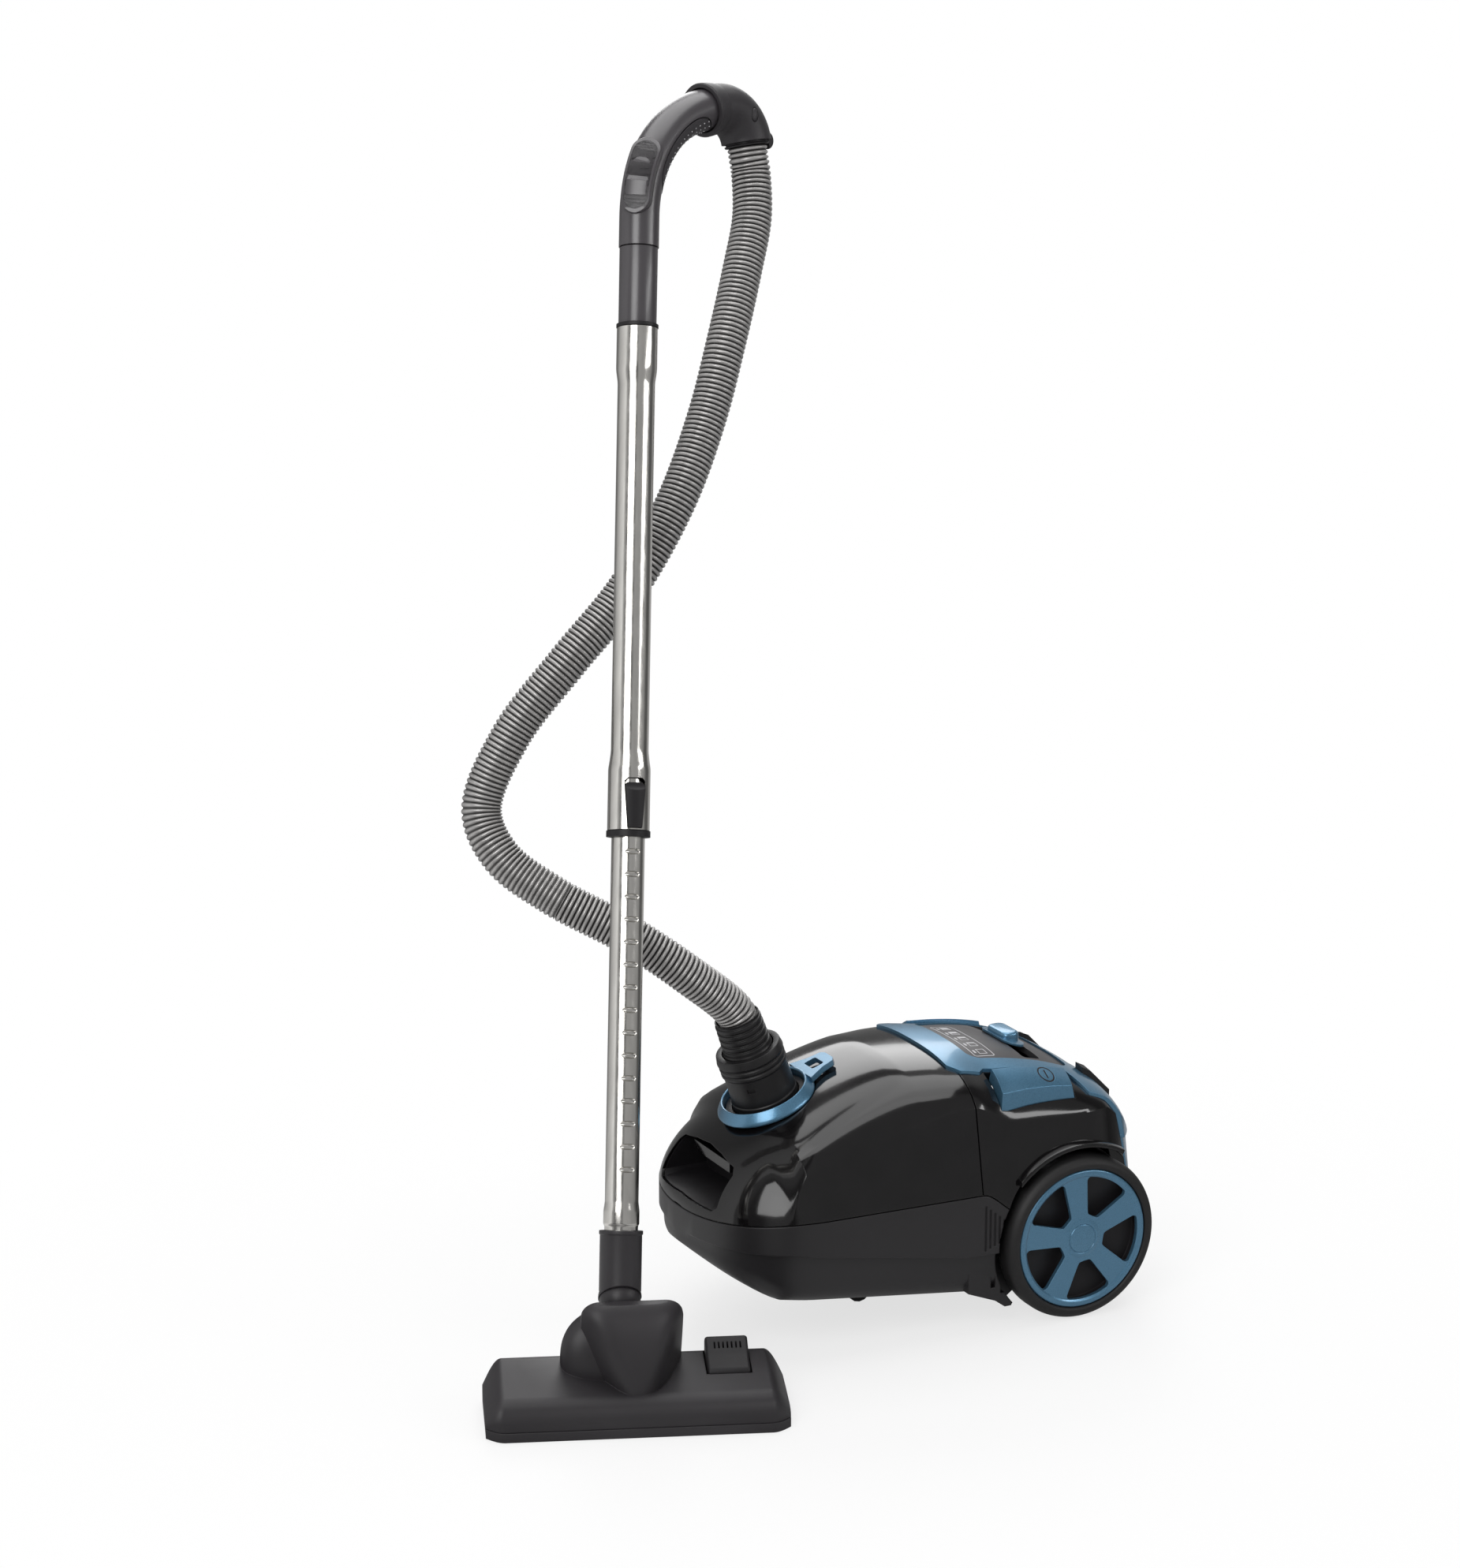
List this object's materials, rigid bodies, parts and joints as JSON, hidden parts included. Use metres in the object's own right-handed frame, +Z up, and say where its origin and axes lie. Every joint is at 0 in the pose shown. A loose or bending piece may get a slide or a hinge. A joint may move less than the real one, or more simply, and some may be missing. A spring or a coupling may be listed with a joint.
{
  "type": "canister vacuum cleaner",
  "caption": "Canister vacuum cleaner on two spoked wheels and a caster, with hose, telescopic tube, bent handle and combination floor head.",
  "frame": {"origin": "middle of the base of the whole group's bounding box, on the floor, the hose left out", "axes": "+Z up from the floor, +X from the floor head towards the canister's tail, +Y towards the canister's far side"},
  "size_m": [0.7385, 0.5167, 1.1794],
  "materials": {
    "gloss_black": "high gloss",
    "matte_black": "fine matte grain",
    "satin_grey": "satin",
    "blue_lacquer": "metallic lacquer",
    "panel_grey": "satin",
    "chrome": "polished",
    "steel": "brushed",
    "soft_rubber": "matte",
    "hose_plastic": "satin ribs",
    "felt": "fleece",
    "holder_plastic": "card",
    "board": "satin",
    "bristle": "bristle"
  },
  "bodies": {
    "canister": {"chassis": "matte_black", "lid_seal": "soft_rubber", "rear_cover": "gloss_black", "control_frame": "blue_lacquer", "control_inset": "panel_grey", "rear_panel": "blue_lacquer", "exhaust_filter": "felt", "motor_housing": "matte_black", "circuit_board": "board", "motor_filter": "felt", "bag_holder": "holder_plastic", "dust_bag": "felt", "pedal_spring_left": "steel", "parking_foot_left": "soft_rubber", "axle_left": "steel", "pedal_spring_right": "steel", "parking_foot_right": "soft_rubber", "axle_right": "steel", "neck": "satin_grey", "inner_tube": "chrome", "hose_upper": "hose_plastic", "hose_lower": "hose_plastic"},
    "lid": {"lid_shell": "gloss_black", "grip_pocket": "matte_black", "inlet_socket": "matte_black"},
    "latch": {"latch_lever": "gloss_black"},
    "inlet_lever": {"inlet_ring": "blue_lacquer"},
    "cuff": {"hose_cuff": "matte_black", "cuff_sleeve": "matte_black"},
    "pedal_left": {"pedal_left": "blue_lacquer"},
    "pedal_right": {"pedal_right": "blue_lacquer"},
    "slider": {"power_slider": "blue_lacquer"},
    "grille": {"exhaust_grille": "matte_black"},
    "fan": {"motor_fan": "steel"},
    "reel": {"cord_reel": "matte_black"},
    "wheel_left": {"tyre_left": "soft_rubber", "wheel_core_left": "matte_black", "wheel_rim_left": "blue_lacquer"},
    "wheel_right": {"tyre_right": "soft_rubber", "wheel_core_right": "matte_black", "wheel_rim_right": "blue_lacquer"},
    "caster": {"caster_fork": "matte_black"},
    "caster_wheel": {"caster_wheel": "soft_rubber"},
    "wand": {"outer_tube": "chrome", "tube_end_ring": "matte_black", "tube_collar": "matte_black", "handle_tube": "satin_grey", "handle_grip": "satin_grey", "grip_insert": "soft_rubber", "hose_elbow": "satin_grey"},
    "lock": {"lock_button": "matte_black"},
    "valve": {"valve_slider": "satin_grey"},
    "hose_end": {"hose_swivel": "matte_black"},
    "swivel": {"neck_elbow": "satin_grey"},
    "head": {"head_housing": "satin_grey", "sole_plate": "matte_black"},
    "rocker": {"brush_rocker": "satin_grey"},
    "brush": {"brush_strips": "bristle"},
    "roller_left": {"head_roller_left": "soft_rubber"},
    "roller_right": {"head_roller_right": "soft_rubber"}
  },
  "joints": [
    {"name": "lid_hinge", "type": "hinge", "parent": "canister", "child": "lid", "pos_m": [0.1488, -0.006, 0.2655], "axis": [0, 1, 0], "range_deg": [0, 75], "deforming": ["hose_lower"]},
    {"name": "latch_pivot", "type": "hinge", "parent": "lid", "child": "latch", "pos_m": [-0.04795, -0.006, 0.1805], "axis": [0, 1, 0], "range_deg": [0, 8], "stiffness_Nm_per_rad": 0.3, "springref_deg": -11.46},
    {"name": "inlet_lever_turn", "type": "hinge", "parent": "lid", "child": "inlet_lever", "pos_m": [-0.009, -0.006, 0.223], "axis": [-0.342, 0, 0.9397], "range_deg": [0, 25]},
    {"name": "cuff_turn", "type": "hinge", "parent": "lid", "child": "cuff", "pos_m": [-0.009, -0.006, 0.223], "axis": [-0.342, 0, 0.9397], "continuous": true},
    {"name": "pedal_left_press", "type": "slide", "parent": "canister", "child": "pedal_left", "axis": [0, 0, -1], "range_m": [0, 0.003], "stiffness_N_per_m": 1500, "springref_m": -0.002, "deforming": ["pedal_spring_left"]},
    {"name": "pedal_right_press", "type": "slide", "parent": "canister", "child": "pedal_right", "axis": [0, 0, -1], "range_m": [0, 0.003], "stiffness_N_per_m": 1500, "springref_m": -0.002, "deforming": ["pedal_spring_right"]},
    {"name": "slider_run", "type": "hinge", "parent": "canister", "child": "slider", "pos_m": [0.254, -0.006, -0.1816], "axis": [1, 0, 0], "range_deg": [-3, 3]},
    {"name": "grille_hinge", "type": "hinge", "parent": "canister", "child": "grille", "pos_m": [0.3543, -0.006, 0.1716], "axis": [0, 1, 0], "range_deg": [0, 70]},
    {"name": "fan_spin", "type": "hinge", "parent": "canister", "child": "fan", "pos_m": [0.226, -0.006, 0.1], "axis": [1, 0, 0], "continuous": true},
    {"name": "reel_spin", "type": "hinge", "parent": "canister", "child": "reel", "pos_m": [0.318, -0.006, 0.082], "axis": [0, 1, 0], "continuous": true},
    {"name": "wheel_left_spin", "type": "hinge", "parent": "canister", "child": "wheel_left", "pos_m": [0.266, 0.12, 0.083], "axis": [0, 1, 0], "continuous": true},
    {"name": "wheel_right_spin", "type": "hinge", "parent": "canister", "child": "wheel_right", "pos_m": [0.266, -0.132, 0.083], "axis": [0, 1, 0], "continuous": true},
    {"name": "caster_swivel", "type": "hinge", "parent": "canister", "child": "caster", "pos_m": [0.082, -0.006, 0.04], "axis": [0, 0, 1], "continuous": true},
    {"name": "caster_spin", "type": "hinge", "parent": "caster", "child": "caster_wheel", "pos_m": [0.092, -0.006, 0.013], "axis": [0, 1, 0], "continuous": true},
    {"name": "tube_telescope", "type": "slide", "parent": "canister", "child": "wand", "axis": [0.162, 0.288, 0.9438], "range_m": [-0.29, 0], "deforming": ["hose_upper"]},
    {"name": "lock_slide", "type": "slide", "parent": "wand", "child": "lock", "axis": [0.162, 0.288, 0.9438], "range_m": [0, 0.004], "stiffness_N_per_m": 600, "springref_m": -0.004},
    {"name": "valve_turn", "type": "hinge", "parent": "wand", "child": "valve", "pos_m": [0.05086, 0.19819, 1.0308], "axis": [-0.3843, 0.8994, -0.2084], "range_deg": [0, 6]},
    {"name": "hose_end_turn", "type": "hinge", "parent": "wand", "child": "hose_end", "pos_m": [0.08895, 0.23503, 1.11957], "axis": [0.0627, -0.1998, -0.9778], "continuous": true},
    {"name": "neck_swivel", "type": "hinge", "parent": "canister", "child": "swivel", "pos_m": [-0.22774, -0.13495, 0.10698], "axis": [0.2745, 0.7152, 0.6428], "range_deg": [-70, 70]},
    {"name": "head_tilt", "type": "hinge", "parent": "swivel", "child": "head", "pos_m": [-0.22851, -0.13696, 0.048], "axis": [0.9336, -0.3584, 0], "range_deg": [-3, 52]},
    {"name": "rocker_tilt", "type": "hinge", "parent": "head", "child": "rocker", "pos_m": [-0.13839, -0.17798, 0.034], "axis": [0.9336, -0.3584, 0], "range_deg": [0, 12]},
    {"name": "brush_drop", "type": "slide", "parent": "head", "child": "brush", "axis": [0, 0, 1], "range_m": [-0.0046, 0]},
    {"name": "roller_left_spin", "type": "hinge", "parent": "head", "child": "roller_left", "pos_m": [-0.11044, -0.16515, 0.007], "axis": [0.9336, -0.3584, 0], "continuous": true},
    {"name": "roller_right_spin", "type": "hinge", "parent": "head", "child": "roller_right", "pos_m": [-0.31209, -0.08774, 0.007], "axis": [0.9336, -0.3584, 0], "continuous": true}
  ],
  "couplings": [
    {"joint": "brush_drop", "follows": "rocker_tilt", "m_per_rad": -0.0215}
  ]
}
